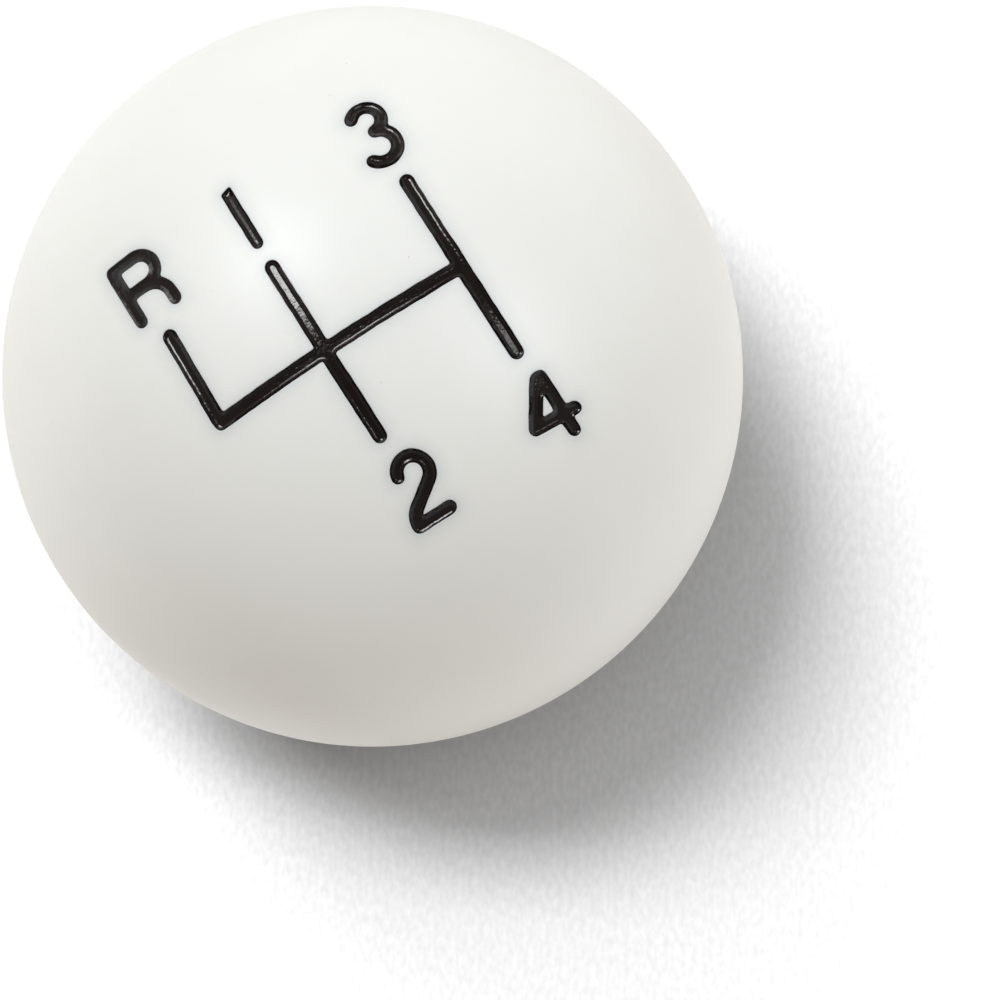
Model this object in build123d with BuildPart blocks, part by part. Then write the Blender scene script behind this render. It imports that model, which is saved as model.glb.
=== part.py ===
from build123d import *
import os
from math import asin, atan2, degrees, radians, sqrt, tan

# Ball: moulded round, with a flat turned underneath
ball_diameter = 50.8
base_flat_diameter = 22.0
base_rim_radius = 2.0

# Engraving and the enamel that is wiped into it
engraving_depth = 0.6
enamel_below_surface = 0.12
gate_stroke = 1.0
numeral_stroke = 0.9

# Shift gate in plan from the knob's axis, +Y towards the front of the car
reverse_lane_x = -9.5
reverse_lane_lean = 0.2
reverse_lane_top = 6.4
first_lane_x = -1.3
first_lane_top = 6.3
third_lane_x = 9.1
third_lane_top = 6.55
lane_bottom = -6.78
neutral_y = -0.28
neutral_rise = 0.12

# Numerals stand off the ends of the lanes, with sizes along the middle of the stroke
numeral_gap = 1.05
numeral_height = 4.1

# Letter R
letter_offset = 0.38
letter_width = 2.76
letter_waist = 1.95
letter_leg_radius = 1.43

# Figure 1, with its full height
one_offset = 0.04
one_stroke = 0.82
one_height = 4.81
one_top_slant = 15.5

# Figure 2
two_offset = 0.27
two_width = 2.68
two_bowl_radius = 1.07
two_bowl_start = 168.0
two_knee_height = 0.65
two_foot_length = 2.4

# Figure 3
three_offset = -0.1
three_height = 4.22
three_lower_radius = 1.15
three_lower_shift = 0.11
three_waist_overlap = 0.06
three_upper_start = 145.0
three_upper_sweep = 228.0
three_lower_start = 79.0
three_lower_sweep = 222.0

# Figure 4
four_offset = -0.2
four_height = 3.88
four_width = 2.97
four_stem_inset = 0.83
four_apex_flat = 0.28
four_cross_height = 1.16

# Brass insert, knurled outside and tapped 3/8-16 UNC inside
insert_diameter = 14.3
insert_length = 24.0
insert_recess = 0.3
insert_chamfer = 0.6
collar_length = 3.0
waist_groove_width = 4.0
waist_groove_depth = 0.9
knurl_count = 24
knurl_depth = 0.5
tap_drill_diameter = 7.94
tap_depth = 19.0
drill_point_angle = 118.0
countersink_diameter = 10.2

# Worked out from the sizes above
ball_radius = ball_diameter / 2
base_flat_radius = base_flat_diameter / 2
ball_centre_z = sqrt(ball_radius**2 - base_flat_radius**2)
base_rim_angle = degrees(atan2(ball_centre_z, base_flat_radius))
floor_radius = ball_radius - engraving_depth
enamel_radius = ball_radius - enamel_below_surface
half_height = numeral_height / 2
row_step = gate_stroke / 2 + numeral_gap + numeral_stroke / 2 + half_height
lower_row_y = lane_bottom - row_step
insert_radius = insert_diameter / 2
waist_groove_z = insert_recess + (collar_length + insert_length - waist_groove_width) / 2
knurl_side = knurl_depth * sqrt(2)
tap_drill_radius = tap_drill_diameter / 2
drill_point_length = tap_drill_radius / tan(radians(drill_point_angle / 2))

# Poles of the spheres under the enamel lie level, clear of the engraved crown
poles_level = (90, 0, 0)

# Gate: three lanes joined by the neutral bar
reverse_foot = (reverse_lane_x - reverse_lane_lean / 2, neutral_y - neutral_rise / 2)
reverse_top = (reverse_lane_x + reverse_lane_lean / 2, reverse_lane_top)
with BuildLine() as gate_lines:
    Line(reverse_foot, reverse_top)
    Line(reverse_foot, (third_lane_x, neutral_y + neutral_rise / 2))
    Line((first_lane_x, lane_bottom), (first_lane_x, first_lane_top))
    Line((third_lane_x, lane_bottom), (third_lane_x, third_lane_top))

# Letter R: a stem, a round bowl and a leg that curves out from the waist
letter_left = reverse_lane_x + letter_offset - letter_width / 2
letter_right = letter_left + letter_width
letter_foot = reverse_lane_top + row_step - half_height
letter_top = letter_foot + numeral_height
waist_y = letter_foot + letter_waist
letter_bowl_radius = (letter_top - waist_y) / 2
with BuildLine() as letter_lines:
    Line((letter_left, letter_foot), (letter_left, letter_top))
    top_bar = Line((letter_left, letter_top), (letter_right - letter_bowl_radius, letter_top))
    bowl = JernArc(top_bar @ 1, top_bar % 1, letter_bowl_radius, -180)
    Line(bowl @ 1, (letter_left, waist_y))
    leg = JernArc((letter_right - letter_leg_radius, waist_y), (1, 0), letter_leg_radius, -90)
    Line(leg @ 1, (letter_right, letter_foot))

# Figure 1: one upright stroke with a round foot and a slanted top
one_half_stroke = one_stroke / 2
one_left = first_lane_x + one_offset - one_half_stroke
one_right = one_left + one_stroke
one_foot = first_lane_top + gate_stroke / 2 + numeral_gap
one_top = one_foot + one_height
one_top_rise = one_half_stroke * tan(radians(one_top_slant))
with BuildPart() as one_prism:
    with BuildSketch(Plane.XY.offset(ball_centre_z)):
        with BuildLine():
            one_side = Line((one_left, one_top - one_top_rise), (one_left, one_foot + one_half_stroke))
            foot_round = JernArc(one_side @ 1, one_side % 1, one_half_stroke, 180)
            far_side = Line(foot_round @ 1, (one_right, one_top + one_top_rise))
            Line(far_side @ 1, one_side @ 0)
        make_face()
    extrude(amount=ball_diameter)

# Figure 2: a bowl, a straight neck that touches it, a rounded knee and a flat foot
two_left = first_lane_x + two_offset - two_width / 2
two_foot_y = lower_row_y - half_height
two_foot = Vector(two_left, two_foot_y)
two_knee = Vector(two_left, two_foot_y + two_knee_height)
two_bowl_centre = Vector(
    two_left + two_width - two_bowl_radius,
    lower_row_y + half_height - two_bowl_radius,
)
to_bowl = two_bowl_centre - two_knee
neck_angle = degrees(atan2(to_bowl.Y, to_bowl.X) - asin(two_bowl_radius / to_bowl.length))
knee_start = two_knee + Vector(two_knee_height, 0).rotate(Axis.Z, neck_angle)
with BuildLine() as two_lines:
    bowl = CenterArc(two_bowl_centre, two_bowl_radius, two_bowl_start, neck_angle - two_bowl_start - 90)
    neck = Line(bowl @ 1, knee_start)
    TangentArc(knee_start, two_foot, tangent=neck % 1)
    Line(two_foot, two_foot + Vector(two_foot_length, 0))

# Figure 3: two bowls that meet at the waist
three_y = third_lane_top + row_step
three_half_height = three_height / 2
three_upper_radius = three_half_height - three_lower_radius + three_waist_overlap / 2
three_upper_x = third_lane_x + three_offset
three_upper_centre = (three_upper_x, three_y + three_half_height - three_upper_radius)
three_lower_centre = (three_upper_x - three_lower_shift, three_y - three_half_height + three_lower_radius)
with BuildLine() as three_lines:
    CenterArc(three_upper_centre, three_upper_radius, three_upper_start, -three_upper_sweep)
    CenterArc(three_lower_centre, three_lower_radius, three_lower_start, -three_lower_sweep)

# Figure 4: a stem, a slope from its flat apex and a crossbar
four_left = third_lane_x + four_offset - four_width / 2
four_right = four_left + four_width
four_stem_x = four_right - four_stem_inset
four_top = lower_row_y + four_height / 2
four_foot = lower_row_y - four_height / 2
four_cross_y = four_foot + four_cross_height
with BuildLine() as four_lines:
    Line((four_stem_x, four_foot), (four_stem_x, four_top))
    apex = Line((four_stem_x, four_top), (four_stem_x - four_apex_flat, four_top))
    Line(apex @ 1, (four_left, four_cross_y))
    Line((four_left, four_cross_y), (four_right, four_cross_y))

os.makedirs("parts", exist_ok=True)


def stroke_prism(centre_lines, stroke):
    """Round-ended strokes along the centre lines, raised straight up through the crown."""
    with BuildPart() as prism:
        with BuildSketch(Plane.XY.offset(ball_centre_z)):
            for centre_line in centre_lines.edges():
                SlotArc(centre_line, stroke)
        extrude(amount=ball_diameter)
    return prism.part


engraved = {
    "gate_fill": stroke_prism(gate_lines, gate_stroke),
    "reverse_fill": stroke_prism(letter_lines, numeral_stroke),
    "first_fill": one_prism.part,
    "second_fill": stroke_prism(two_lines, numeral_stroke),
    "third_fill": stroke_prism(three_lines, numeral_stroke),
    "fourth_fill": stroke_prism(four_lines, numeral_stroke),
}

# Grooves: the strokes down to a floor that follows the sphere
with BuildPart() as grooves:
    for prism in engraved.values():
        add(prism)
    with Locations((0, 0, ball_centre_z)):
        Sphere(floor_radius, rotation=poles_level, mode=Mode.SUBTRACT)

# Ball: a round profile with a flat base and a softened rim, and a plain pocket for the insert
with BuildPart() as ball:
    with BuildSketch(Plane.XZ) as half_profile:
        with BuildLine():
            base = Line((0, 0), (base_flat_radius, 0))
            side = CenterArc((0, ball_centre_z), ball_radius, -base_rim_angle, base_rim_angle + 90)
            Line(side @ 1, (0, 0))
        make_face()
        fillet(half_profile.vertices().sort_by_distance(base @ 1)[0], base_rim_radius)
    revolve(axis=Axis.Z)
    with BuildSketch(Plane.XY):
        Circle(insert_radius)
    extrude(amount=insert_recess + insert_length, mode=Mode.SUBTRACT)
    add(grooves.part, mode=Mode.SUBTRACT)
ball.part.label = "ball"
export_step(ball.part, "parts/ball.step")

# Enamel: one pool in each groove, from its floor to just under the ball's surface
for name, prism in engraved.items():
    with BuildPart() as fill:
        add(prism)
        with Locations((0, 0, ball_centre_z)):
            Sphere(enamel_radius, rotation=poles_level, mode=Mode.INTERSECT)
            Sphere(floor_radius, rotation=poles_level, mode=Mode.SUBTRACT)
    fill.part.label = name
    export_step(fill.part, f"parts/{name}.step")

# Insert: turned, grooved round its waist, knurled above a plain collar, drilled and countersunk from below
with BuildPart() as threaded_insert:
    with BuildSketch(Plane.XY.offset(insert_recess)):
        Circle(insert_radius)
    extrude(amount=insert_length)
    chamfer(threaded_insert.faces().sort_by(Axis.Z)[-1].edges(), insert_chamfer)
    with BuildSketch(Plane.XY.offset(waist_groove_z)):
        Circle(insert_diameter)
        Circle(insert_radius - waist_groove_depth, mode=Mode.SUBTRACT)
    extrude(amount=waist_groove_width, mode=Mode.SUBTRACT)
    with BuildSketch(Plane.XY.offset(insert_recess + collar_length)):
        with PolarLocations(insert_radius, knurl_count):
            Rectangle(knurl_side, knurl_side, rotation=45)
    extrude(amount=insert_length - collar_length, mode=Mode.SUBTRACT)
    with Locations(Plane((0, 0, insert_recess), z_dir=(0, 0, -1))):
        CounterSinkHole(tap_drill_radius, countersink_diameter / 2, tap_depth)
    with Locations((0, 0, insert_recess + tap_depth)):
        Cone(
            tap_drill_radius,
            0,
            drill_point_length,
            align=(Align.CENTER, Align.CENTER, Align.MIN),
            mode=Mode.SUBTRACT,
        )
threaded_insert.part.label = "threaded_insert"
export_step(threaded_insert.part, "parts/threaded_insert.step")
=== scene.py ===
"""Gear shift knob: a white ball with a shift pattern engraved and filled with enamel, and a tapped insert.

Sizes are in millimetres and angles in degrees. Meshes are scaled to the frame's metres when they are made.
"""

import logging
import math
from abc import ABC, abstractmethod
from collections.abc import Sequence
from dataclasses import dataclass, field
from enum import Enum

import bpy
import numpy as np
from mathutils import Matrix, Quaternion, Vector, noise
from mathutils.geometry import delaunay_2d_cdt


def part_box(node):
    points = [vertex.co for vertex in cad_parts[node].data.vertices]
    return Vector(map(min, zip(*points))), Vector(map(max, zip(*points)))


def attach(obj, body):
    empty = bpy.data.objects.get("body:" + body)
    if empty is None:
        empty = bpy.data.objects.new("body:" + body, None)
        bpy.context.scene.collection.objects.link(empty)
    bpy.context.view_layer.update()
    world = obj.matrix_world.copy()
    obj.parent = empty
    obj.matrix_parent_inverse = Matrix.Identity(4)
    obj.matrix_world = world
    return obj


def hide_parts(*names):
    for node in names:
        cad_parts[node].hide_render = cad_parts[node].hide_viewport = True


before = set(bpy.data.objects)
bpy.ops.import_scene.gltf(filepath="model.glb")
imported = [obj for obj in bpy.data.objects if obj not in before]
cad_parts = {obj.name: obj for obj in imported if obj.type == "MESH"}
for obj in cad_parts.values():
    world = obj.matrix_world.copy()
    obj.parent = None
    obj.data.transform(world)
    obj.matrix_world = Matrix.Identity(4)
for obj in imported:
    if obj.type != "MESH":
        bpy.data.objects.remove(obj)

LOG = logging.getLogger("gear_shift_knob")
MM = 0.001
BODY = "root"
IMAGE_SIZE = 1000
SENSOR_WIDTH = 36.0

# Points within one step of this grid are one point, and plan points merge at a tenth of it
WELD_GRID = 1e-4
MERGE_GRID = WELD_GRID / 10
# A triangle is a sliver when twice its area is less than this
SLIVER = 1e-10
# Distance that stands for no groove nearby
FAR_AWAY = 9.0


class Slot(Enum):
    """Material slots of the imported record."""

    WHITE_PLASTIC = "white_plastic"
    BLACK_ENAMEL = "black_enamel"
    BRASS = "brass"


class Mark(Enum):
    """Engraved marks, by the CAD node that fills each one."""

    GATE = "gate_fill"
    REVERSE = "reverse_fill"
    FIRST = "first_fill"
    SECOND = "second_fill"
    THIRD = "third_fill"
    FOURTH = "fourth_fill"


class Lights(Enum):
    """What a lamp falls on."""

    BODY = "body"
    ENAMEL = "enamel"
    PAPER = "paper"


def linear(colour: str) -> tuple[float, float, float, float]:
    """Turn an sRGB hex colour into linear RGBA.

    Args:
        colour: Hex colour such as "#F4F2EC".

    Returns:
        Linear red, green, blue and an alpha of 1.
    """
    parts = [int(colour[i : i + 2], 16) / 255 for i in (1, 3, 5)]
    red, green, blue = (p / 12.92 if p <= 0.04045 else ((p + 0.055) / 1.055) ** 2.4 for p in parts)
    return red, green, blue, 1.0


def per_metre(size: float) -> float:
    """Texture scale whose features are `size` millimetres across."""
    return 1 / (size * MM)


def add_node(
    tree: bpy.types.NodeTree, kind: str, inputs: dict[str | int, object] | None = None, **settings: object
) -> bpy.types.Node:
    """Add a shader node with its settings and links.

    Args:
        tree: Node tree that takes the node.
        kind: Blender's type name of the node.
        inputs: Value or source socket for each input, by its name or number.
        settings: Properties of the node itself.

    Returns:
        The new node.
    """
    node = tree.nodes.new(kind)
    for name, value in settings.items():
        setattr(node, name, value)
    for name, source in (inputs or {}).items():
        if isinstance(source, bpy.types.NodeSocket):
            tree.links.new(source, node.inputs[name])
        else:
            node.inputs[name].default_value = source
    return node


@dataclass(frozen=True)
class Finish(ABC):
    """A finish that becomes a Blender material, named for the real material and how it was made."""

    name: str

    @abstractmethod
    def dress(self, tree: bpy.types.NodeTree, shader: bpy.types.Node) -> None:
        """Set the shader and add the nodes that vary it.

        Args:
            tree: Node tree of the material.
            shader: Principled shader that gives the surface.
        """

    @staticmethod
    def vary(
        tree: bpy.types.NodeTree,
        shader: bpy.types.Node,
        share: bpy.types.NodeSocket,
        colours: tuple[str, str],
        roughness: tuple[float, float],
    ) -> bpy.types.Node:
        """Let one pattern mix two colours and set the gloss.

        Args:
            tree: Node tree of the material.
            shader: Principled shader that takes the gloss.
            share: The pattern, from 0 to 1.
            colours: Colours at its two ends.
            roughness: Roughness at its two ends.

        Returns:
            The node that mixes the colours.
        """
        gloss = add_node(
            tree, "ShaderNodeMapRange", {"Value": share, "To Min": roughness[0], "To Max": roughness[1]}
        )
        tree.links.new(gloss.outputs["Result"], shader.inputs["Roughness"])
        ends = {6: linear(colours[0]), 7: linear(colours[1])}
        return add_node(tree, "ShaderNodeMix", {0: share, **ends}, data_type="RGBA")

    def material(self) -> bpy.types.Material:
        """Make the finish's material, or find it where it is made already.

        Returns:
            The material with the finish's nodes.
        """
        if self.name in bpy.data.materials:
            return bpy.data.materials[self.name]
        made = bpy.data.materials.new(self.name)
        made.use_nodes = True
        tree = made.node_tree
        tree.nodes.clear()
        shader = add_node(tree, "ShaderNodeBsdfPrincipled")
        add_node(tree, "ShaderNodeOutputMaterial", {"Surface": shader.outputs["BSDF"]})
        self.dress(tree, shader)
        return made


@dataclass(frozen=True)
class BuffedUrea(Finish):
    """Urea plastic, moulded and buffed: warm white, softly glossy, faintly clouded, with the odd speck.

    Beside the strokes a thin bluish grey tint is painted on it, which fades within a fraction of a
    millimetre.
    """

    name: str = "urea_plastic_moulded_and_buffed"
    white: str = "#F0F1ED"
    cloud: str = "#E9EAE5"
    speck: str = "#C9C6BE"
    stroke_tint: str = "#C3CACE"
    cloud_size: float = 11.0
    speck_spacing: float = 3.2
    speck_reach: float = 0.09
    ripple_size: float = 1.4
    ripple_height: float = 0.0012
    roughness: tuple[float, float] = (0.38, 0.48)
    index: float = 1.5
    bleed: float = 0.12
    bleed_depth: float = 0.9
    bleed_reach: tuple[float, float, float] = (1.0, 0.9, 0.75)

    def dress(self, tree: bpy.types.NodeTree, shader: bpy.types.Node) -> None:
        """Set the shader and add clouds, specks, the painted grey tint beside the strokes and a faint ripple.

        Args:
            tree: Node tree of the material.
            shader: Principled shader that gives the surface.
        """
        place = add_node(tree, "ShaderNodeTexCoord").outputs["Object"]
        clouds = add_node(
            tree, "ShaderNodeTexNoise", {"Vector": place, "Scale": per_metre(self.cloud_size), "Detail": 3.0}
        )
        tones = (self.white, self.cloud)
        tint = self.vary(tree, shader, clouds.outputs["Fac"], tones, self.roughness)
        grains = add_node(
            tree, "ShaderNodeTexVoronoi", {"Vector": place, "Scale": per_metre(self.speck_spacing)}
        )
        specks = add_node(
            tree,
            "ShaderNodeMapRange",
            {
                "Value": grains.outputs["Distance"],
                "From Min": 0.0,
                "From Max": self.speck_reach / self.speck_spacing,
                "To Min": 1.0,
                "To Max": 0.0,
            },
            interpolation_type="SMOOTHSTEP",
        )
        specked = add_node(
            tree,
            "ShaderNodeMix",
            {0: specks.outputs["Result"], 6: tint.outputs[2], 7: linear(self.speck)},
            data_type="RGBA",
        )
        # A bluish grey tint is painted on the plastic beside the strokes, as much as this attribute's share
        wiped = add_node(tree, "ShaderNodeAttribute", attribute_name="stroke_tint")
        tinted = add_node(
            tree,
            "ShaderNodeMix",
            {0: wiped.outputs["Fac"], 6: specked.outputs[2], 7: linear(self.stroke_tint)},
            data_type="RGBA",
        )
        ripple = add_node(
            tree, "ShaderNodeTexNoise", {"Vector": place, "Scale": per_metre(self.ripple_size), "Detail": 2.0}
        )
        bump = add_node(
            tree,
            "ShaderNodeBump",
            {"Height": ripple.outputs["Fac"], "Strength": 1.0, "Distance": self.ripple_height * MM},
        )
        tree.links.new(tinted.outputs[2], shader.inputs["Base Color"])
        tree.links.new(bump.outputs["Normal"], shader.inputs["Normal"])
        shader.inputs["IOR"].default_value = self.index
        shader.inputs["Subsurface Weight"].default_value = self.bleed
        shader.inputs["Subsurface Scale"].default_value = self.bleed_depth * MM
        shader.inputs["Subsurface Radius"].default_value = self.bleed_reach


@dataclass(frozen=True)
class TurnedUrea(Finish):
    """The same plastic where a lathe faced it off: duller, with fine rings left by the tool.

    Real tool marks are too fine to show, so the rings are drawn coarser.
    """

    name: str = "urea_plastic_turned"
    white: str = "#EFEDE6"
    dust: str = "#E2DFD6"
    ring_pitch: float = 0.35
    ring_height: float = 0.012
    roughness: tuple[float, float] = (0.42, 0.6)

    def dress(self, tree: bpy.types.NodeTree, shader: bpy.types.Node) -> None:
        """Set the shader and add the tool's rings.

        Args:
            tree: Node tree of the material.
            shader: Principled shader that gives the surface.
        """
        place = add_node(tree, "ShaderNodeTexCoord").outputs["Object"]
        flat = add_node(
            tree, "ShaderNodeVectorMath", {0: place, 1: (1.0, 1.0, 0.0)}, operation="MULTIPLY"
        )
        reach = add_node(tree, "ShaderNodeVectorMath", {0: flat.outputs[0]}, operation="LENGTH")
        rings = add_node(
            tree,
            "ShaderNodeTexNoise",
            {"W": reach.outputs["Value"], "Scale": per_metre(self.ring_pitch), "Detail": 2.0},
            noise_dimensions="1D",
        )
        tones = (self.white, self.dust)
        tint = self.vary(tree, shader, rings.outputs["Fac"], tones, self.roughness)
        bump = add_node(
            tree, "ShaderNodeBump", {"Height": rings.outputs["Fac"], "Distance": self.ring_height * MM}
        )
        tree.links.new(tint.outputs[2], shader.inputs["Base Color"])
        tree.links.new(bump.outputs["Normal"], shader.inputs["Normal"])


@dataclass(frozen=True)
class WipedEnamel(Finish):
    """Black enamel, flooded into the strokes and wiped level: deep black, glossy, its skin slightly uneven.

    Its index starts from enamel's 1.5 and is lowered to match the thin, dim streaks of light on it.
    """

    name: str = "black_enamel_wiped_in"
    black: str = "#040303"
    brown: str = "#0E0908"
    skin_size: float = 0.3
    skin_height: float = 0.026
    blotch_size: float = 1.2
    roughness: tuple[float, float] = (0.1, 0.2)
    index: float = 1.34

    def dress(self, tree: bpy.types.NodeTree, shader: bpy.types.Node) -> None:
        """Set the shader and add blotches and an uneven skin.

        Args:
            tree: Node tree of the material.
            shader: Principled shader that gives the surface.
        """
        place = add_node(tree, "ShaderNodeTexCoord").outputs["Object"]
        blotches = add_node(
            tree, "ShaderNodeTexNoise", {"Vector": place, "Scale": per_metre(self.blotch_size), "Detail": 3.0}
        )
        tones = (self.black, self.brown)
        tint = self.vary(tree, shader, blotches.outputs["Fac"], tones, self.roughness)
        skin = add_node(
            tree, "ShaderNodeTexNoise", {"Vector": place, "Scale": per_metre(self.skin_size), "Detail": 2.0}
        )
        bump = add_node(
            tree, "ShaderNodeBump", {"Height": skin.outputs["Fac"], "Distance": self.skin_height * MM}
        )
        tree.links.new(tint.outputs[2], shader.inputs["Base Color"])
        tree.links.new(bump.outputs["Normal"], shader.inputs["Normal"])
        shader.inputs["IOR"].default_value = self.index


@dataclass(frozen=True)
class TurnedBrass(Finish):
    """Free-cutting brass, turned and tapped: yellow metal with fine tool lines and a little tarnish.

    Real tool lines are too fine to show, so these are drawn coarser.
    """

    name: str = "brass_turned_and_tapped"
    bright: str = "#D9B872"
    tarnish: str = "#B08A4A"
    line_pitch: float = 0.14
    line_height: float = 0.006
    tarnish_size: float = 3.5
    roughness: tuple[float, float] = (0.22, 0.4)

    def dress(self, tree: bpy.types.NodeTree, shader: bpy.types.Node) -> None:
        """Set the shader and add tool lines and tarnish.

        Args:
            tree: Node tree of the material.
            shader: Principled shader that gives the surface.
        """
        place = add_node(tree, "ShaderNodeTexCoord").outputs["Object"]
        flat = add_node(
            tree, "ShaderNodeVectorMath", {0: place, 1: (1.0, 1.0, 0.0)}, operation="MULTIPLY"
        )
        reach = add_node(tree, "ShaderNodeVectorMath", {0: flat.outputs[0]}, operation="LENGTH")
        axes = add_node(tree, "ShaderNodeSeparateXYZ", {0: place})
        travel = add_node(tree, "ShaderNodeMath", {0: reach.outputs["Value"], 1: axes.outputs["Z"]})
        lines = add_node(
            tree,
            "ShaderNodeTexNoise",
            {"W": travel.outputs[0], "Scale": per_metre(self.line_pitch), "Detail": 2.0},
            noise_dimensions="1D",
        )
        stains = add_node(
            tree,
            "ShaderNodeTexNoise",
            {"Vector": place, "Scale": per_metre(self.tarnish_size), "Detail": 4.0},
        )
        tones = (self.bright, self.tarnish)
        tint = self.vary(tree, shader, stains.outputs["Fac"], tones, self.roughness)
        bump = add_node(
            tree, "ShaderNodeBump", {"Height": lines.outputs["Fac"], "Distance": self.line_height * MM}
        )
        tree.links.new(tint.outputs[2], shader.inputs["Base Color"])
        tree.links.new(bump.outputs["Normal"], shader.inputs["Normal"])
        shader.inputs["Metallic"].default_value = 1.0


@dataclass(frozen=True)
class StudioPaper(Finish):
    """Seamless studio paper: matt and pale with a fine tooth, and brought up to white by lamps of its own.

    What it throws back on the knob is held down. Its tooth is drawn coarser than real, so that it shows.
    """

    name: str = "seamless_paper_matt"
    pale: str = "#BCC1C6"
    tooth: str = "#A6AAB0"
    thrown: str = "#959595"
    tooth_size: float = 0.4
    fibre_stretch: float = 1.75
    fibre_bearing: float = 57.0

    def dress(self, tree: bpy.types.NodeTree, shader: bpy.types.Node) -> None:
        """Set the shader and add the paper's tooth.

        Args:
            tree: Node tree of the material.
            shader: Principled shader that gives the surface.
        """
        place = add_node(tree, "ShaderNodeTexCoord").outputs["Object"]
        along = add_node(
            tree,
            "ShaderNodeMapping",
            {
                "Vector": place,
                "Rotation": (0.0, 0.0, math.radians(self.fibre_bearing)),
                "Scale": (self.fibre_stretch, 1.0, 1.0),
            },
            vector_type="TEXTURE",
        )
        grain = add_node(
            tree,
            "ShaderNodeTexNoise",
            {"Vector": along.outputs["Vector"], "Scale": per_metre(self.tooth_size), "Detail": 1.0},
        )
        tint = add_node(
            tree,
            "ShaderNodeMix",
            {0: grain.outputs["Fac"], 6: linear(self.pale), 7: linear(self.tooth)},
            data_type="RGBA",
        )
        seen = add_node(tree, "ShaderNodeLightPath")
        shown = add_node(
            tree,
            "ShaderNodeMix",
            {0: seen.outputs["Is Diffuse Ray"], 6: tint.outputs[2], 7: linear(self.thrown)},
            data_type="RGBA",
        )
        tree.links.new(shown.outputs[2], shader.inputs["Base Color"])
        shader.inputs["Roughness"].default_value = 1.0
        shader.inputs["Specular IOR Level"].default_value = 0.0


@dataclass
class Patch:
    """A run of faces with one normal at each of its points."""

    points: np.ndarray
    normals: np.ndarray
    faces: np.ndarray
    finish: int = 0


def weld(patches: Sequence[Patch]) -> tuple[np.ndarray, list[list[int]], np.ndarray, list[int]]:
    """Join patches into one skin whose points are shared, and whose corners keep each patch's own normals.

    Args:
        patches: Patches that meet along equal points.

    Returns:
        Points, faces, a normal for each face corner and a finish number for each face.
    """
    points = np.vstack([p.points for p in patches])
    keys = np.round(points / WELD_GRID).astype(np.int64)
    _, first, same = np.unique(keys, axis=0, return_index=True, return_inverse=True)
    same = same.reshape(-1)
    faces: list[list[int]] = []
    corners: list[np.ndarray] = []
    finishes: list[int] = []
    start = 0
    for patch in patches:
        for face in patch.faces:
            ids = [int(same[start + i]) for i in face]
            kept = [k for k in range(len(ids)) if ids[k] != ids[k - 1]]
            if len(kept) < 3:
                continue
            faces.append([ids[k] for k in kept])
            corners.extend(patch.normals[face[k]] for k in kept)
            finishes.append(patch.finish)
        start += len(patch.points)
    return points[first], faces, np.array(corners), finishes


def make_piece(
    name: str, patches: Sequence[Patch], finishes: Sequence[Finish]
) -> bpy.types.Object:
    """Make a piece that rides on the knob's one body.

    Args:
        name: Name of the piece.
        patches: Patches that close its skin.
        finishes: Finishes that the patches number.

    Returns:
        The new object.
    """
    points, faces, corners, numbers = weld(patches)
    mesh = bpy.data.meshes.new(name)
    mesh.from_pydata((points * MM).tolist(), [], faces)
    mesh.polygons.foreach_set("material_index", numbers)
    mesh.polygons.foreach_set("use_smooth", [True] * len(faces))
    mesh.normals_split_custom_set(corners.tolist())
    for finish in finishes:
        mesh.materials.append(finish.material())
    piece = bpy.data.objects.new(name, mesh)
    bpy.context.scene.collection.objects.link(piece)
    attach(piece, BODY)
    mesh.calc_loop_triangles()
    LOG.info("%s: %d points, %d triangles", name, len(points), len(mesh.loop_triangles))
    return piece


def grid_faces(rows: int, columns: int) -> np.ndarray:
    """Quads of a grid whose columns close round an axis.

    Args:
        rows: Number of point rows.
        columns: Number of points in a row.

    Returns:
        Four point numbers for each quad.
    """
    row, column = np.meshgrid(np.arange(rows - 1), np.arange(columns), indexing="ij")
    here = row * columns + column
    beside = row * columns + (column + 1) % columns
    return np.stack([here, here + columns, beside + columns, beside], -1).reshape(-1, 4)


def turned_patch(profile: np.ndarray, normals: np.ndarray, columns: int, finish: int = 0) -> Patch:
    """Turn a profile round the knob's axis.

    Args:
        profile: Radius and height of each point, with the skin's outside on the left of their order.
        normals: Radial and upright part of each point's normal.
        columns: Number of points round the axis.
        finish: Finish number of the patch.

    Returns:
        The turned patch.
    """
    angle = np.arange(columns) * 2 * math.pi / columns
    across, along = np.cos(angle), np.sin(angle)

    def swing(pairs: np.ndarray) -> np.ndarray:
        """Swing radius and height pairs to every angle."""
        out, up = pairs[:, :1], pairs[:, 1:]
        return np.stack([out * across, out * along, up + 0 * across], -1).reshape(-1, 3)

    return Patch(swing(profile), swing(normals), grid_faces(len(profile), columns), finish)


@dataclass(frozen=True)
class BallForm:
    """The ball's sphere, read from the CAD ball's box."""

    radius: float
    centre_z: float

    @classmethod
    def from_frame(cls) -> "BallForm":
        """Read the largest sphere that keeps inside the CAD box.

        Returns:
            The ball's radius and the height of its centre.
        """
        low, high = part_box("ball")
        radius = min(-low.x, high.x, -low.y, high.y) / MM
        return cls(radius, high.z / MM - radius)

    def lift(self, plan: np.ndarray, drop: np.ndarray) -> np.ndarray:
        """Raise plan points to the crown.

        Args:
            plan: Points in plan.
            drop: How far under the ball's surface each one lies.

        Returns:
            The points in space.
        """
        height = np.sqrt((self.radius - drop) ** 2 - (plan**2).sum(1))
        return np.column_stack([plan, height + self.centre_z])

    def outward(self, points: np.ndarray) -> np.ndarray:
        """Unit directions from the ball's centre to the points."""
        rays = points - [0, 0, self.centre_z]
        return rays / np.linalg.norm(rays, axis=1, keepdims=True)


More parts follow.
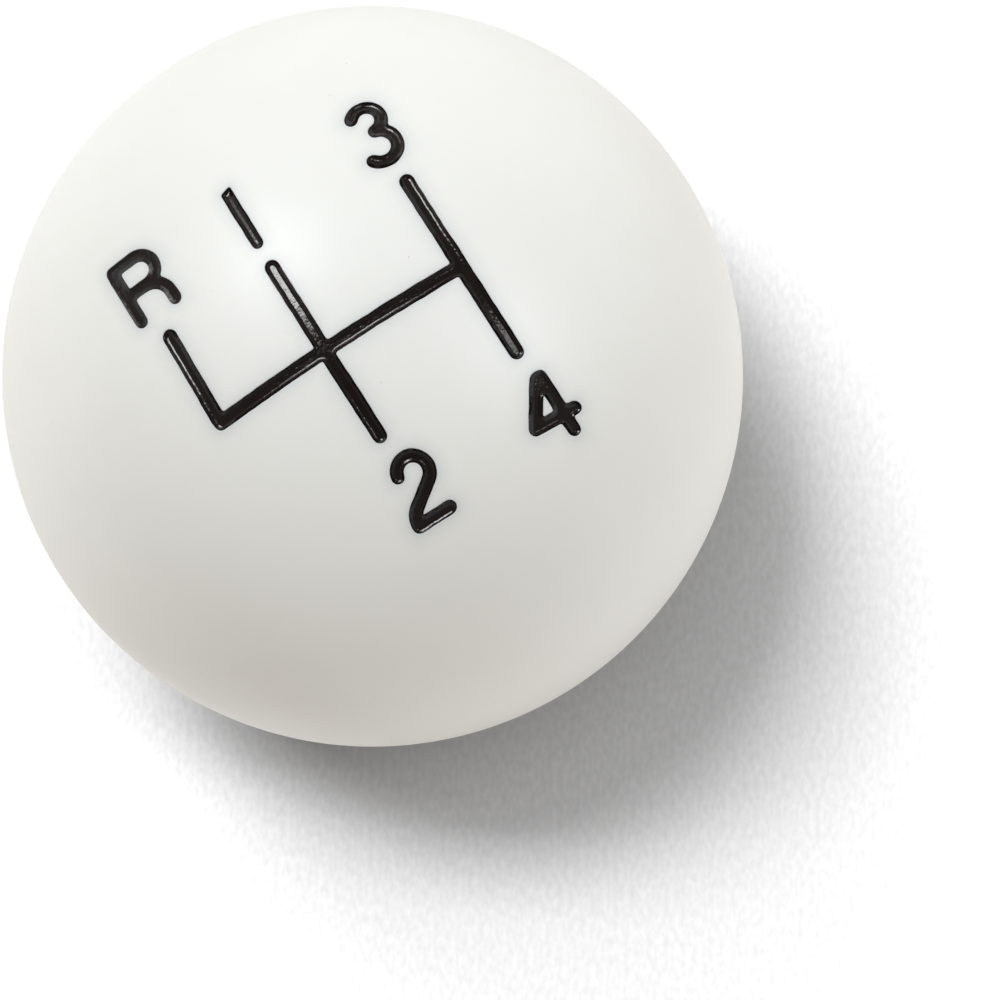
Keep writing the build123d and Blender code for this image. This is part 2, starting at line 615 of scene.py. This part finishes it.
@dataclass(frozen=True)
class Outline:
    """Edge of one engraved mark in plan. Along each loop the groove lies to the left."""

    mark: Mark
    loops: tuple[np.ndarray, ...]

    @staticmethod
    def sideways(loop: np.ndarray) -> np.ndarray:
        """Unit directions from the groove's edge into the plastic."""
        ahead = np.roll(loop, -1, 0) - np.roll(loop, 1, 0)
        return np.column_stack([ahead[:, 1], -ahead[:, 0]]) / np.linalg.norm(ahead, axis=1, keepdims=True)

    def distance(self, points: np.ndarray, block: int = 800) -> tuple[np.ndarray, np.ndarray]:
        """Measure plan points against the groove's edge.

        Args:
            points: Points in plan.
            block: Number of points that are measured at a time.

        Returns:
            Distance from the edge, negative in the groove, and the unit direction away from the groove.
        """
        start = np.vstack(self.loops)
        end = np.vstack([np.roll(loop, -1, 0) for loop in self.loops])
        run = end - start
        length = (run**2).sum(1)
        side = np.column_stack([run[:, 1], -run[:, 0]]) / np.sqrt(length)[:, None]
        distance = np.empty(len(points))
        away = np.empty((len(points), 2))
        for first in range(0, len(points), block):
            here = points[first : first + block]
            gap = here[:, None] - start
            share = np.clip((gap * run).sum(2) / length, 0, 1)
            gap -= share[..., None] * run
            reach = (gap**2).sum(2)
            nearest = reach.argmin(1)
            rows = np.arange(len(here))
            size = np.sqrt(reach[rows, nearest])
            above = start[:, 1] > here[:, 1:]
            crosses = above != (end[:, 1] > here[:, 1:])
            rise = np.where(run[:, 1] == 0, 1.0, run[:, 1])
            meets = start[:, 0] + (here[:, 1:] - start[:, 1]) / rise * run[:, 0]
            inside = (crosses & (meets > here[:, :1])).sum(1) % 2 == 1
            sign = np.where(inside, -1.0, 1.0)
            on_edge = size < WELD_GRID
            pull = gap[rows, nearest] * (sign / np.maximum(size, WELD_GRID))[:, None]
            distance[first : first + block] = sign * size
            away[first : first + block] = np.where(on_edge[:, None], side[nearest], pull)
        return distance, away


@dataclass
class PlanMesh:
    """Points and edges in plan that become one triangulation."""

    points: list[np.ndarray] = field(default_factory=list)
    edges: list[tuple[int, int]] = field(default_factory=list)
    count: int = 0

    def add_points(self, points: np.ndarray) -> None:
        """Add loose points."""
        self.points.append(points)
        self.count += len(points)

    def add_ring(self, ring: np.ndarray, kept: np.ndarray) -> None:
        """Add the kept points of a closed ring, and edges between those that are neighbours.

        Args:
            ring: Points of the ring in order.
            kept: True for each point to keep.
        """
        number = np.where(kept, self.count + np.cumsum(kept) - 1, -1)
        for here, there in zip(number, np.roll(number, -1)):
            if here >= 0 and there >= 0 and here != there:
                self.edges.append((int(here), int(there)))
        self.add_points(ring[kept])

    def triangulate(self) -> tuple[np.ndarray, np.ndarray]:
        """Triangulate all that was added.

        Returns:
            Points in plan and three point numbers for each triangle, anticlockwise.
        """
        points = [Vector(p) for p in np.vstack(self.points).tolist()]
        made = delaunay_2d_cdt(points, self.edges, [], 0, MERGE_GRID)
        plan = np.array([v[:] for v in made[0]])
        faces = np.array(made[2])
        first, second, third = (plan[faces[:, k]] for k in range(3))
        turn = (second - first)[:, 0] * (third - first)[:, 1] - (second - first)[:, 1] * (third - first)[:, 0]
        faces[turn < 0] = faces[turn < 0][:, ::-1]
        return plan, faces[np.abs(turn) > SLIVER]


@dataclass
class Engraving:
    """The engraved marks: their edges are read from the CAD fills and given a hand-finished waver."""

    form: BallForm
    depth: float = 0.6
    step: float = 0.1
    rounding_passes: int = 3
    waver: tuple[float, ...] = (0.03, 0.02)
    waver_length: tuple[float, ...] = (1.7, 0.55)
    top_facing: float = 0.5
    key_digits: int = 3
    least_points: int = 12
    outlines: list[Outline] = field(init=False)

    def __post_init__(self) -> None:
        """Read every mark's edge from the frame."""
        self.outlines = [self.read_outline(mark) for mark in Mark]

    def read_outline(self, mark: Mark) -> Outline:
        """Find the edge of a CAD fill's top in plan.

        Args:
            mark: Mark whose fill is read.

        Returns:
            The mark's edge, resampled and wavered.
        """
        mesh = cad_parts[mark.value].data
        mesh.calc_loop_triangles()
        keys = [tuple(round(c / MM, self.key_digits) for c in vertex.co) for vertex in mesh.vertices]
        edges: set[tuple] = set()
        for triangle in mesh.loop_triangles:
            if triangle.normal.z < self.top_facing:
                continue
            corners = [keys[i] for i in triangle.vertices]
            for edge in zip(corners, corners[1:] + corners[:1]):
                if edge[::-1] in edges:
                    edges.remove(edge[::-1])
                else:
                    edges.add(edge)
        onward = dict(edges)
        loops = []
        while onward:
            here = min(onward)
            loop = []
            while here in onward:
                loop.append(here[:2])
                here = onward.pop(here)
            loops.append(self.finish_loop(np.array(loop)))
        return Outline(mark, tuple(loops))

    def finish_loop(self, loop: np.ndarray) -> np.ndarray:
        """Space a loop's points evenly, ease its corners and let it waver.

        Args:
            loop: Points of the loop as the CAD mesh has them.

        Returns:
            The finished loop.
        """
        closed = np.vstack([loop, loop[:1]])
        along = np.concatenate([[0.0], np.cumsum(np.linalg.norm(np.diff(closed, axis=0), axis=1))])
        count = max(self.least_points, round(along[-1] / self.step))
        stops = np.arange(count) * along[-1] / count
        even = np.column_stack([np.interp(stops, along, closed[:, k]) for k in (0, 1)])
        for _ in range(self.rounding_passes):
            even = (np.roll(even, 1, 0) + 2 * even + np.roll(even, -1, 0)) / 4
        side = Outline.sideways(even)
        drift = np.zeros(count)
        for size, length in zip(self.waver, self.waver_length):
            drift += size * np.array([noise.noise(Vector((x, y, 0.0)) / length) for x, y in even.tolist()])
        return even + drift[:, None] * side

    def add_rings(
        self, plan_mesh: PlanMesh, outline: Outline, levels: Sequence[float], tolerance: float = 0.003
    ) -> None:
        """Add rings of points that follow a mark's edge at set distances.

        Args:
            plan_mesh: Mesh that takes the rings.
            outline: The mark's edge.
            levels: Distances from the edge, negative in the groove.
            tolerance: How far off its distance a point may lie before it is left out.
        """
        for loop in outline.loops:
            side = Outline.sideways(loop)
            for level in levels:
                ring = loop + level * side
                distance, _ = outline.distance(ring)
                plan_mesh.add_ring(ring, np.abs(distance - level) < tolerance)

    def distance(self, points: np.ndarray, margin: float = 1.0) -> tuple[np.ndarray, np.ndarray]:
        """Measure plan points against the nearest mark.

        Args:
            points: Points in plan.
            margin: How far round each mark points are measured.

        Returns:
            Distance from the nearest edge, negative in a groove, and the unit direction away from it.
        """
        distance = np.full(len(points), FAR_AWAY)
        away = np.zeros((len(points), 2))
        for outline in self.outlines:
            edge = np.vstack(outline.loops)
            near = ((points > edge.min(0) - margin) & (points < edge.max(0) + margin)).all(1)
            if not near.any():
                continue
            ids = np.flatnonzero(near)
            found, direction = outline.distance(points[ids])
            closer = found < distance[ids]
            distance[ids[closer]] = found[closer]
            away[ids[closer]] = direction[closer]
        return distance, away


def tilted(outward: np.ndarray, away: np.ndarray, slope: np.ndarray) -> np.ndarray:
    """Normals that lean from straight out of the ball towards the middle of a groove.

    Args:
        outward: Directions straight out of the ball.
        away: Plan directions away from the groove.
        slope: Angle of lean in radians.

    Returns:
        Unit normals.
    """
    lean = np.column_stack([-away, np.zeros(len(away))])
    normals = np.cos(slope)[:, None] * outward + np.sin(slope)[:, None] * lean
    return normals / np.linalg.norm(normals, axis=1, keepdims=True)


@dataclass
class Ball:
    """The moulded ball: an engraved crown, round sides, a turned base with a soft rim, and a pocket."""

    form: BallForm
    engraving: Engraving
    crown_radius: float = 18.4
    columns: int = 256
    crown_spacing: float = 0.6
    lip_radius: float = 0.06
    lip_angles: tuple[float, ...] = (0, 25, 50, 72, 90)
    wall_run: float = 0.012
    floor_inset: float = 0.2
    tint_rings: tuple[float, ...] = (0.13, 0.25, 0.42)
    base_rim_radius: float = 2.0
    rim_rows: int = 7
    base_rows: int = 5
    side_step: float = 2.5
    tint_reach: float = 0.4
    tint_strength: float = 0.58
    coat: Finish = BuffedUrea()
    base_coat: Finish = TurnedUrea()

    def crown(self) -> Patch:
        """Build the crown with its engraved grooves.

        Returns:
            The crown's patch, from the top to the crown's rim.
        """
        lip = [self.lip_radius * (1 - math.sin(math.radians(a))) for a in self.lip_angles]
        levels = [-self.floor_inset, -self.wall_run, *lip[::-1], *self.tint_rings]
        plan_mesh = PlanMesh()
        for outline in self.engraving.outlines:
            self.engraving.add_rings(plan_mesh, outline, levels)
        angle = np.arange(self.columns) * 2 * math.pi / self.columns
        rim = self.crown_radius * np.column_stack([np.cos(angle), np.sin(angle)])
        plan_mesh.add_ring(rim, np.ones(self.columns, bool))
        reach = math.ceil(self.crown_radius / self.crown_spacing)
        span = np.arange(-2 * reach, 2 * reach)
        row, column = np.meshgrid(span, span, indexing="ij")
        field_points = self.crown_spacing * np.column_stack(
            [(column + row / 2).ravel(), (row * math.sqrt(0.75)).ravel()]
        )
        inner = self.crown_radius - self.crown_spacing / 2
        field_points = field_points[(field_points**2).sum(1) < inner**2]
        distance, _ = self.engraving.distance(field_points)
        plan_mesh.add_points(field_points[distance > self.crown_spacing])
        plan, faces = plan_mesh.triangulate()
        at_rim = (plan**2).sum(1) > (self.crown_radius - self.crown_spacing / 4) ** 2
        turn = np.arctan2(plan[at_rim, 1], plan[at_rim, 0]) / (2 * math.pi / self.columns)
        plan[at_rim] = rim[np.round(turn).astype(int) % self.columns]
        distance, away = self.engraving.distance(plan)
        points = self.form.lift(plan, self.drop(distance))
        return Patch(points, tilted(self.form.outward(points), away, self.lean(distance)), faces)

    def drop(self, distance: np.ndarray) -> np.ndarray:
        """Depth of the plastic under the ball's round, across a groove's rounded lip, wall and floor.

        Args:
            distance: Distance of each point from the groove's edge, negative in the groove.

        Returns:
            How far each point lies under the round.
        """
        inward = self.lip_radius - np.clip(distance, 0, self.lip_radius)
        lip = self.lip_radius - np.sqrt(self.lip_radius**2 - inward**2)
        wall = (self.engraving.depth - self.lip_radius) * np.clip(-distance / self.wall_run, 0, 1)
        return lip + wall

    def lean(self, distance: np.ndarray) -> np.ndarray:
        """Angle in radians that the plastic leans into a groove at each distance from its edge."""
        lip = np.arcsin(1 - np.clip(distance / self.lip_radius, 0, 1))
        return np.where(distance <= -self.wall_run, 0.0, lip)

    def sides(self) -> list[Patch]:
        """Build the round sides, the rim, the base and the pocket.

        Returns:
            Patches from the crown's rim to the pocket's closed end.
        """
        radius, centre = self.form.radius, self.form.centre_z
        _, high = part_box("threaded_insert")
        pocket_radius, pocket_end = high.x / MM, high.z / MM
        rim_x = math.sqrt((radius - self.base_rim_radius) ** 2 - (centre - self.base_rim_radius) ** 2)
        rim_turn = math.atan2(rim_x, self.base_rim_radius - centre)
        crown_turn = math.asin(self.crown_radius / radius)
        turns = np.linspace(crown_turn, rim_turn, round(math.degrees(rim_turn - crown_turn) / self.side_step))
        round_normals = np.column_stack([np.sin(turns), np.cos(turns)])
        rim_turns = np.linspace(rim_turn, math.pi, self.rim_rows)
        rim_normals = np.column_stack([np.sin(rim_turns), np.cos(rim_turns)])
        rim = self.base_rim_radius * rim_normals + [rim_x, self.base_rim_radius]
        base_radii = np.linspace(rim_x, pocket_radius, self.base_rows)
        base = np.column_stack([base_radii, 0 * base_radii])
        wall = np.array([[pocket_radius, 0.0], [pocket_radius, pocket_end]])
        end = np.array([[pocket_radius, pocket_end], [0.0, pocket_end]])
        down, inward = np.array([0.0, -1.0]), np.array([-1.0, 0.0])
        return [
            turned_patch(radius * round_normals + [0, centre], round_normals, self.columns),
            turned_patch(rim, rim_normals, self.columns),
            turned_patch(base, np.tile(down, (len(base), 1)), self.columns, 1),
            turned_patch(wall, np.tile(inward, (2, 1)), self.columns, 1),
            turned_patch(end, np.tile(down, (2, 1)), self.columns, 1),
        ]

    def build(self) -> bpy.types.Object:
        """Make the ball and the bluish grey tint that is painted beside its strokes.

        Returns:
            The ball's object.
        """
        patches = [self.crown(), *self.sides()]
        piece = make_piece("moulded_ball", patches, [self.coat, self.base_coat])
        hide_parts("ball")
        points = np.array([v.co[:] for v in piece.data.vertices]) / MM
        distance, _ = self.engraving.distance(points[:, :2])
        distance[points[:, 2] < self.form.centre_z] = FAR_AWAY
        # Share of the painted grey tint beside the strokes, fading with distance from the groove's edge
        stroke_tint = self.tint_strength * np.exp(-np.clip(distance, 0, None) / self.tint_reach)
        piece.data.attributes.new("stroke_tint", "FLOAT", "POINT").data.foreach_set("value", stroke_tint)
        return piece


@dataclass
class EnamelFill:
    """Enamel in one mark: it climbs the groove's walls and lies lower along the middle."""

    form: BallForm
    engraving: Engraving
    outline: Outline
    steep_lean: float = 52.0
    shallow_lean: float = 18.0
    shallow_mark: Mark = Mark.REVERSE
    edge_drop: float = 0.05
    meniscus: float = 0.35
    meniscus_power: float = 0.5
    profile_steps: int = 200
    ring_shares: tuple[float, ...] = (
        0.0, 0.06, 0.19, 0.32, 0.45, 0.58, 0.68, 0.77, 0.85, 0.92, 0.97, 1.0, 1.1,
    )
    coat: Finish = WipedEnamel()

    @property
    def wall_lean(self) -> float:
        """Lean of the enamel at the groove's wall: the shallow mark was wiped almost flat."""
        return self.shallow_lean if self.outline.mark is self.shallow_mark else self.steep_lean

    def drop(self, distance: np.ndarray) -> np.ndarray:
        """Depth of the enamel under the ball's round.

        Args:
            distance: Distance of each point from the groove's edge, negative in the groove.

        Returns:
            How far each point lies under the round.
        """
        run = np.linspace(0, self.meniscus, self.profile_steps)
        slope = np.tan(self.lean(-run))
        fall = np.concatenate([[0.0], np.cumsum((slope[1:] + slope[:-1]) / 2 * np.diff(run))])
        return self.edge_drop + np.interp(-distance, run, fall)

    def lean(self, distance: np.ndarray) -> np.ndarray:
        """Angle in radians that the enamel leans to the middle at each distance from the groove's edge."""
        left = 1 - np.clip(-distance / self.meniscus, 0, 1)
        return math.radians(self.wall_lean) * left**self.meniscus_power

    def build(self) -> bpy.types.Object:
        """Make the fill as a closed skin.

        Returns:
            The fill's object.
        """
        plan_mesh = PlanMesh()
        levels = [-self.meniscus * share for share in self.ring_shares]
        self.engraving.add_rings(plan_mesh, self.outline, levels)
        plan, faces = plan_mesh.triangulate()
        middles, _ = self.outline.distance(plan[faces].mean(1))
        faces = faces[middles < 0]
        distance, away = self.outline.distance(plan)
        top = self.form.lift(plan, self.drop(distance))
        floor = self.form.lift(plan, np.full(len(plan), self.engraving.depth))
        outward = self.form.outward(top)
        sides = [self.wall(top, floor, edge, away) for edge in self.rim_edges(faces)]
        patches = [
            Patch(top, tilted(outward, away, self.lean(distance)), faces),
            Patch(floor, -self.form.outward(floor), faces[:, ::-1]),
            *sides,
        ]
        name = self.outline.mark.value.replace("fill", "enamel")
        piece = make_piece(name, patches, [self.coat])
        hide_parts(self.outline.mark.value)
        return piece

    @staticmethod
    def rim_edges(faces: np.ndarray) -> list[tuple[int, int]]:
        """Edges that only one triangle has, in that triangle's order."""
        edges = {(int(f[k]), int(f[(k + 1) % 3])) for f in faces for k in range(3)}
        return sorted(edge for edge in edges if edge[::-1] not in edges)

    @staticmethod
    def wall(top: np.ndarray, floor: np.ndarray, edge: tuple[int, int], away: np.ndarray) -> Patch:
        """One quad of the fill's side, under an edge of its top.

        Args:
            top: Points of the fill's top.
            floor: Points of its floor.
            edge: Numbers of the edge's two points.
            away: Plan directions away from the groove.

        Returns:
            The quad's patch.
        """
        ids = list(edge)
        side = np.column_stack([away[ids], np.zeros(2)])
        points = np.vstack([top[ids], floor[ids]])
        return Patch(points, np.vstack([side, side]), np.array([[1, 0, 2, 3]]))


@dataclass
class ThreadedInsert:
    """The brass insert: a plain collar, a knurl with a groove round its waist, and a hole tapped from below.

    The thread's flats are shares of its pitch.
    """

    collar_length: float = 3.0
    chamfer: float = 0.6
    groove_width: float = 4.0
    groove_depth: float = 0.9
    knurls: int = 24
    knurl_depth: float = 0.5
    mouth_radius: float = 5.1
    mouth_angle: float = 82.0
    minor_radius: float = 3.97
    major_radius: float = 4.76
    pitch: float = 25.4 / 16
    minor_flat: float = 0.25
    major_flat: float = 0.125
    tap_depth: float = 19.0
    run_out: float = 2.5
    plain_end: float = 1.0
    point_angle: float = 118.0
    row_step: float = 0.1
    sharp_angle: float = 32.0
    coat: Finish = TurnedBrass()

    def build(self) -> bpy.types.Object:
        """Make the insert, from the middle of its top round the outside and up its hole.

        Returns:
            The insert's object.
        """
        low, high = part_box("threaded_insert")
        radius, foot, top = high.x / MM, low.z / MM, high.z / MM
        notch = self.knurl_depth / (2 * math.pi * radius / self.knurls)
        stops = np.array([0.0, notch, 0.5, 1 - notch])
        angle = ((np.arange(self.knurls)[:, None] + stops).ravel()) * 2 * math.pi / self.knurls
        depth = np.tile([self.knurl_depth, 0.0, 0.0, 0.0], self.knurls)
        plain, knurl = np.full(len(angle), radius), radius - depth
        groove_foot = foot + (self.collar_length + top - foot - self.groove_width) / 2
        groove_top = groove_foot + self.groove_width
        waist = np.full(len(angle), radius - self.groove_depth)
        rows = [
            (0 * plain, top),
            (plain - self.chamfer, top),
            (knurl, top - self.chamfer),
            (knurl, groove_top),
            (waist, groove_top),
            (waist, groove_foot),
            (knurl, groove_foot),
            (knurl, foot + self.collar_length),
            (plain, foot + self.collar_length),
            (plain, foot),
            *self.hole_rows(angle, foot),
        ]
        points = np.vstack(
            [np.column_stack([r * np.cos(angle), r * np.sin(angle), 0 * r + z]) for r, z in rows]
        )
        patch = Patch(points, np.zeros_like(points), grid_faces(len(rows), len(angle)))
        piece = make_piece("tapped_insert", [patch], [self.coat])
        piece.data.set_sharp_from_angle(angle=math.radians(self.sharp_angle))
        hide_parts("threaded_insert")
        return piece

    def hole_rows(self, angle: np.ndarray, foot: float) -> list[tuple[np.ndarray, float]]:
        """Rows of the hole: its countersunk mouth, the thread and the drill's point.

        Args:
            angle: Angle of each point of a row.
            foot: Height of the insert's lower face.

        Returns:
            Radii and height of each row, upwards.
        """
        end = foot + self.tap_depth
        slope_start = 1 - self.minor_flat
        slope_run = slope_start - self.major_flat
        rows = []
        for z in np.arange(0, self.tap_depth + self.row_step / 2, self.row_step) + foot:
            turn = (z / self.pitch - angle / (2 * math.pi)) % 1
            flank = np.clip((slope_start - 2 * np.abs(turn - 0.5)) / slope_run, 0, 1)
            fade = min(1.0, max(0.0, (end - self.plain_end - z) / self.run_out))
            thread = self.minor_radius + fade * flank * (self.major_radius - self.minor_radius)
            mouth = self.mouth_radius - (z - foot) * math.tan(math.radians(self.mouth_angle / 2))
            rows.append((np.maximum(thread, mouth), z))
        point = self.minor_radius / math.tan(math.radians(self.point_angle / 2))
        return [*rows, (0 * angle, end + point)]


def bearing(azimuth: float, elevation: float) -> Vector:
    """Unit direction to something seen from the knob.

    Args:
        azimuth: 0 stands on the driver's side, at -Y, and 90 at +X.
        elevation: Angle above the floor.

    Returns:
        The direction.
    """
    turn, rise = math.radians(azimuth), math.radians(elevation)
    return Vector((math.sin(turn) * math.cos(rise), -math.cos(turn) * math.cos(rise), math.sin(rise)))


@dataclass(frozen=True)
class Softbox:
    """A rectangular soft lamp that faces the ball, with its power in watts.

    It falls on one group of pieces only, and `roll` turns its face about the line to the ball.
    """

    name: str
    azimuth: float
    elevation: float
    distance: float
    width: float
    height: float
    power: float
    lights: Lights
    colour: str = "#FFFFFF"
    roll: float = 0.0

    def place(self, target: Vector, groups: dict[Lights, bpy.types.Collection]) -> None:
        """Hang the lamp.

        Args:
            target: Point that it faces, in metres.
            groups: What each choice falls on.
        """
        lamp = bpy.data.lights.new(self.name, "AREA")
        lamp.shape = "RECTANGLE"
        lamp.size, lamp.size_y = self.width * MM, self.height * MM
        lamp.energy = self.power
        lamp.color = linear(self.colour)[:3]
        hung = bpy.data.objects.new(self.name, lamp)
        toward = bearing(self.azimuth, self.elevation)
        hung.location = target + toward * self.distance * MM
        rolled = toward.to_track_quat("Z", "Y") @ Quaternion((0, 0, 1), math.radians(self.roll))
        hung.rotation_euler = rolled.to_euler()
        hung.visible_camera = False
        bpy.context.scene.collection.objects.link(hung)
        hung.light_linking.receiver_collection = groups[self.lights]


@dataclass
class Studio:
    """Floor, lamps, world and the camera at the photograph's viewing angle."""

    form: BallForm
    pieces: Sequence[bpy.types.Object]
    floor_size: float = 6000.0
    paper: Finish = StudioPaper()
    air: tuple[tuple[float, str], ...] = (
        (6.0, "#FFFFFF"),
        (9.0, "#C2B9B2"),
        (35.0, "#BAB1AA"),
        (60.0, "#807A75"),
    )
    camera_azimuth: float = 6.95
    camera_elevation: float = 82.28
    camera_roll: float = -39.6
    camera_distance: float = 456.8
    camera_clip: tuple[float, float] = (10.0, 10000.0)
    focal_pixels: float = 6653.0
    ball_pixel: tuple[float, float] = (372.9, 376.5)
    softboxes: tuple[Softbox, ...] = (
        # A key and a side lamp shape the ball at a plain level
        Softbox("key_softbox", -171.5, 50.0, 700.0, 230.0, 230.0, 2.8, Lights.BODY, "#F4FAFF"),
        Softbox("side_softbox", 64.0, 41.5, 700.0, 160.0, 160.0, 1.58, Lights.BODY, "#F2F9FF"),
        # Nested lamps give the enamel its streaks of light, each with a soft edge
        Softbox("glint_softbox", 180.0, 58.0, 700.0, 298.0, 222.0, 3.5, Lights.ENAMEL),
        Softbox("glow_softbox", 180.0, 57.0, 700.0, 462.0, 401.0, 4.5, Lights.ENAMEL),
        Softbox("haze_softbox", 180.0, 50.0, 700.0, 640.0, 713.0, 4.7, Lights.ENAMEL),
        Softbox("side_glint_softbox", 64.0, 41.5, 700.0, 160.0, 160.0, 0.62, Lights.ENAMEL),
        # Large lamps further off bring the paper up to white and give the knob's shadow its shape
        Softbox(
            "paper_high_softbox", -164.8, 66.4, 3000.0, 1264.0, 620.0, 108.0, Lights.PAPER, "#FFF9F3", -48.6
        ),
        Softbox(
            "paper_low_softbox", 173.9, 55.2, 3000.0, 2498.0, 972.0, 98.0, Lights.PAPER, "#FFF9F3", -83.0
        ),
        Softbox(
            "paper_side_softbox", 73.7, 76.0, 3000.0, 451.0, 1857.0, 38.5, Lights.PAPER, "#FFF9F3", -38.1
        ),
    )

    @property
    def target(self) -> Vector:
        """The ball's centre in metres."""
        return Vector((0, 0, self.form.centre_z * MM))

    def lay_floor(self) -> bpy.types.Object:
        """Lay the paper floor under the knob.

        Returns:
            The floor's object.
        """
        half = self.floor_size / 2 * MM
        mesh = bpy.data.meshes.new("paper_floor")
        around = [(-half, -half, 0), (half, -half, 0), (half, half, 0), (-half, half, 0)]
        mesh.from_pydata(around, [], [(0, 1, 2, 3)])
        mesh.materials.append(self.paper.material())
        floor = bpy.data.objects.new("paper_floor", mesh)
        bpy.context.scene.collection.objects.link(floor)
        return floor

    def light_world(self) -> None:
        """Give the world a white backdrop all round its foot, under soft air that darkens overhead."""
        world = bpy.data.worlds.new("studio_air")
        world.use_nodes = True
        tree = world.node_tree
        tree.nodes.clear()
        toward = add_node(tree, "ShaderNodeTexCoord").outputs["Generated"]
        rise = add_node(tree, "ShaderNodeSeparateXYZ", {0: toward})
        shade = add_node(tree, "ShaderNodeValToRGB", {0: rise.outputs["Z"]})
        stops = shade.color_ramp.elements
        # New stops start half way up and then take their own heights
        while len(stops) < len(self.air):
            stops.new(0.5)
        for stop, (height, colour) in zip(stops, self.air):
            stop.position, stop.color = math.sin(math.radians(height)), linear(colour)
        air = add_node(tree, "ShaderNodeBackground", {"Color": shade.outputs["Color"], "Strength": 1.0})
        add_node(tree, "ShaderNodeOutputWorld", {"Surface": air.outputs[0]})
        bpy.context.scene.world = world

    def set_camera(self) -> None:
        """Stand the camera so that the ball falls where the photograph has it."""
        back = bearing(self.camera_azimuth, self.camera_elevation)
        turn = math.radians(self.camera_azimuth)
        right = Vector((math.cos(turn), math.sin(turn), 0))
        level = Matrix((right, back.cross(right), back)).transposed()
        rolled = level @ Matrix.Rotation(math.radians(self.camera_roll), 3, "Z")
        middle = IMAGE_SIZE / 2
        sight = Vector((self.ball_pixel[0] - middle, middle - self.ball_pixel[1], -self.focal_pixels))
        aimed = rolled @ sight.rotation_difference(Vector((0, 0, -1))).to_matrix()
        lens = bpy.data.cameras.new("photo_camera")
        lens.sensor_width = SENSOR_WIDTH
        lens.lens = SENSOR_WIDTH * self.focal_pixels / IMAGE_SIZE
        lens.clip_start, lens.clip_end = (reach * MM for reach in self.camera_clip)
        camera = bpy.data.objects.new("photo_camera", lens)
        stand = Matrix.Translation(self.target + back * self.camera_distance * MM)
        camera.matrix_world = stand @ aimed.to_4x4()
        bpy.context.scene.collection.objects.link(camera)
        bpy.context.scene.camera = camera

    def build(self) -> None:
        """Set up the whole studio."""
        fills = [piece for piece in self.pieces if piece.name.endswith("enamel")]
        body = [piece for piece in self.pieces if piece not in fills]
        groups = {Lights.BODY: body, Lights.ENAMEL: fills, Lights.PAPER: [self.lay_floor()]}
        made = {choice: bpy.data.collections.new(choice.value) for choice in groups}
        for choice, members in groups.items():
            for member in members:
                made[choice].objects.link(member)
        self.light_world()
        for softbox in self.softboxes:
            softbox.place(self.target, made)
        self.set_camera()
        bpy.context.scene.view_settings.view_transform = "Standard"
        LOG.info("studio: %d softboxes", len(self.softboxes))


def corners(box: tuple[Vector, Vector]) -> list[list[float]]:
    """A box's corners as plain lists of numbers."""
    return [list(corner) for corner in box]


def main() -> None:
    """Build the knob and its studio, and log each piece's point and triangle counts."""
    logging.basicConfig(level=logging.INFO, format="%(message)s")
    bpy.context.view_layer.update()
    form = BallForm.from_frame()
    engraving = Engraving(form)
    pieces = [Ball(form, engraving).build()]
    pieces += [EnamelFill(form, engraving, outline).build() for outline in engraving.outlines]
    pieces.append(ThreadedInsert().build())
    Studio(form, pieces).build()


if __name__ == "__main__":
    main()
